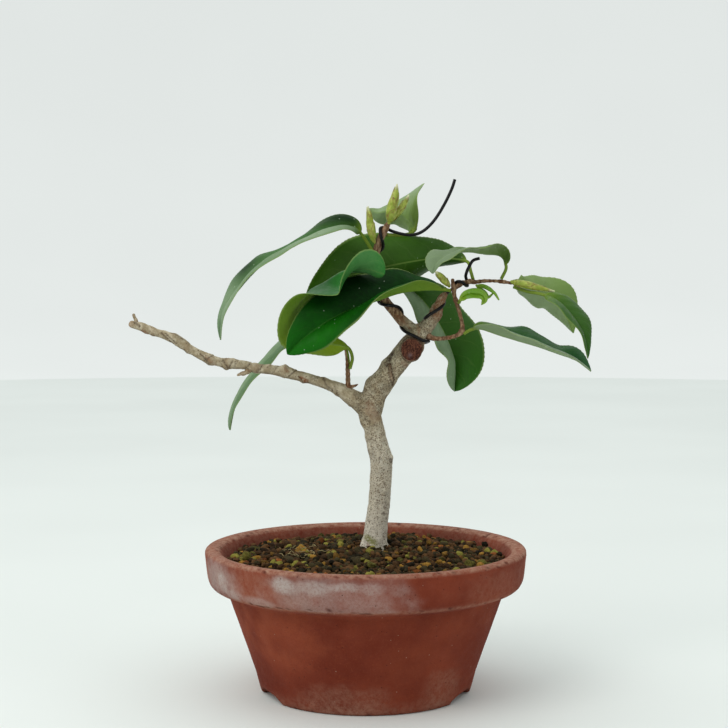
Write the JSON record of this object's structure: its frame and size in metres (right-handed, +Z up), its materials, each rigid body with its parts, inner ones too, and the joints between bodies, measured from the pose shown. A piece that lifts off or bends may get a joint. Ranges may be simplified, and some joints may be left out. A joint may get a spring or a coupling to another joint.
{
  "type": "potted camellia bonsai",
  "caption": "Young wabisuke camellia bonsai with a forked trunk, glossy toothed leaves, green buds and black training wire, in an unglazed terracotta pot of grainy soil.",
  "frame": {"origin": "middle of the whole plant's footprint, on the surface that the pot stands on", "axes": "+Z up along the trunk and the pot's axis; the front of the tree faces -Y, its long left branch points along -X"},
  "size_m": [0.2143, 0.15, 0.2392],
  "materials": {
    "terracotta": "unglazed, matt, with lime bloom",
    "net": "moulded",
    "akadama": "loose fired clay and pumice grains",
    "bark": "smooth living bark",
    "leaf": "glossy living leaf",
    "young_leaf": "soft young leaf",
    "bud": "scaly bud",
    "wire": "black anodised"
  },
  "bodies": {
    "root": {"pot": "terracotta", "drain_net": "net", "soil": "akadama", "tree_wood": "bark", "leaf_left_long": "leaf", "leaf_back": "leaf", "leaf_front": "leaf", "leaf_wavy": "leaf", "leaf_top": "leaf", "leaf_left_thin": "leaf", "leaf_hanging": "leaf", "leaf_right_low": "leaf", "leaf_arched": "leaf", "leaf_right_back": "leaf", "leaf_right_front": "leaf", "leaf_young_curled": "young_leaf", "leaf_young_pair": "young_leaf", "bud_top_pair": "bud", "bud_top_side": "bud", "bud_node": "bud", "bud_end": "bud", "wire_top": "wire", "wire_side": "wire"}
  },
  "joints": []
}
